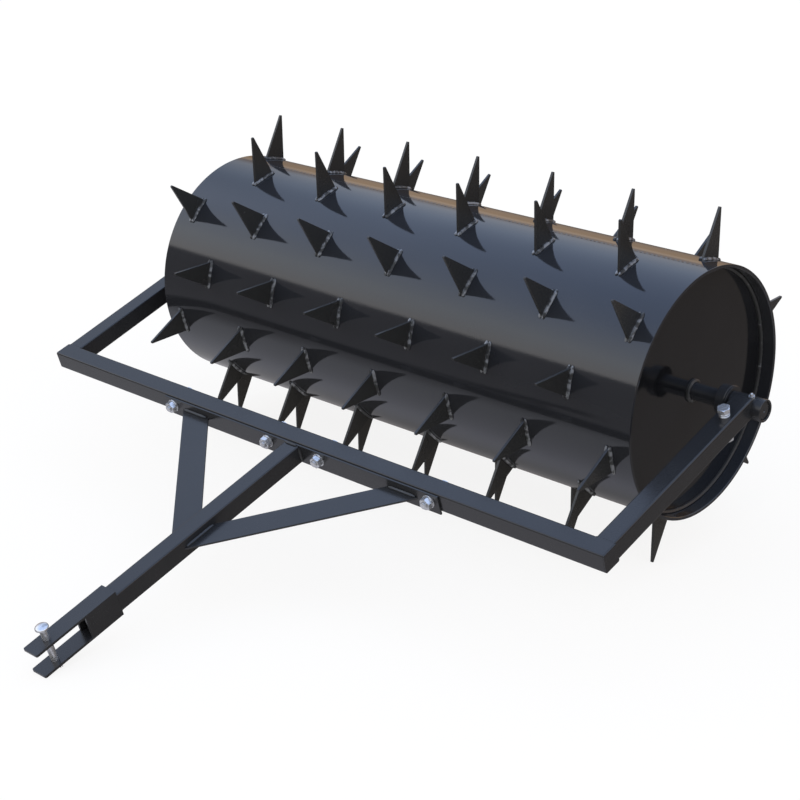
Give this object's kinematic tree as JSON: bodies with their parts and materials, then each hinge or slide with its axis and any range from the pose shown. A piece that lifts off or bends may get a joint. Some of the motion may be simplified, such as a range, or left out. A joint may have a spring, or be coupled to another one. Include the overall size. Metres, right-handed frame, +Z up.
{
  "type": "drum spike aerator",
  "caption": "Tow-behind lawn aerator: a steel drum with rows of triangular spikes turns in a tube frame with a braced drawbar and pin clevis.",
  "frame": {"origin": "on the ground, under the middle of the part's box", "axes": "+X along the axle, -Y towards the hitch, +Z up; the part stands on its lowest spikes and the lip of the clevis"},
  "size_m": [1.099, 1.0604, 0.4876],
  "materials": {
    "black_paint": "gloss",
    "bright_zinc": "bright zinc plate"
  },
  "bodies": {
    "frame": {"bearing_carrier_left": "black_paint", "bearing_carrier_right": "black_paint", "arm_left": "black_paint", "arm_right": "black_paint", "front_bar": "black_paint", "bar_end_plates": "black_paint", "cross_plate": "black_paint", "tongue_tube": "black_paint", "brace_left": "black_paint", "brace_right": "black_paint", "clevis": "black_paint", "grease_fittings": "bright_zinc", "carrier_bolts": "bright_zinc", "carrier_nuts": "bright_zinc", "carrier_washers": "bright_zinc", "carrier_spacers": "bright_zinc", "plate_bolts": "bright_zinc", "plate_nuts": "bright_zinc", "plate_washers": "bright_zinc"},
    "drum": {"drum_shell": "black_paint", "drum_end_left": "black_paint", "drum_end_right": "black_paint", "axle": "black_paint", "spike_row_01": "black_paint", "spike_row_02": "black_paint", "spike_row_03": "black_paint", "spike_row_04": "black_paint", "spike_row_05": "black_paint", "spike_row_06": "black_paint", "spike_row_07": "black_paint", "spike_row_08": "black_paint", "spike_row_09": "black_paint", "spike_row_10": "black_paint", "spike_row_11": "black_paint", "spike_row_12": "black_paint", "set_collar_left": "black_paint", "set_collar_right": "black_paint", "set_screws": "bright_zinc", "thrust_washers": "black_paint"},
    "pin": {"hitch_pin": "bright_zinc", "cotter_pin": "bright_zinc"}
  },
  "joints": [
    {"name": "drum_spin", "type": "hinge", "parent": "frame", "child": "drum", "pos_m": [0, 0.28643, 0.2438], "axis": [1, 0, 0], "continuous": true},
    {"name": "pin_slide", "type": "slide", "parent": "frame", "child": "pin", "axis": [0, -0.2635, 0.9647], "range_m": [-0.0177, 0.0007]}
  ]
}
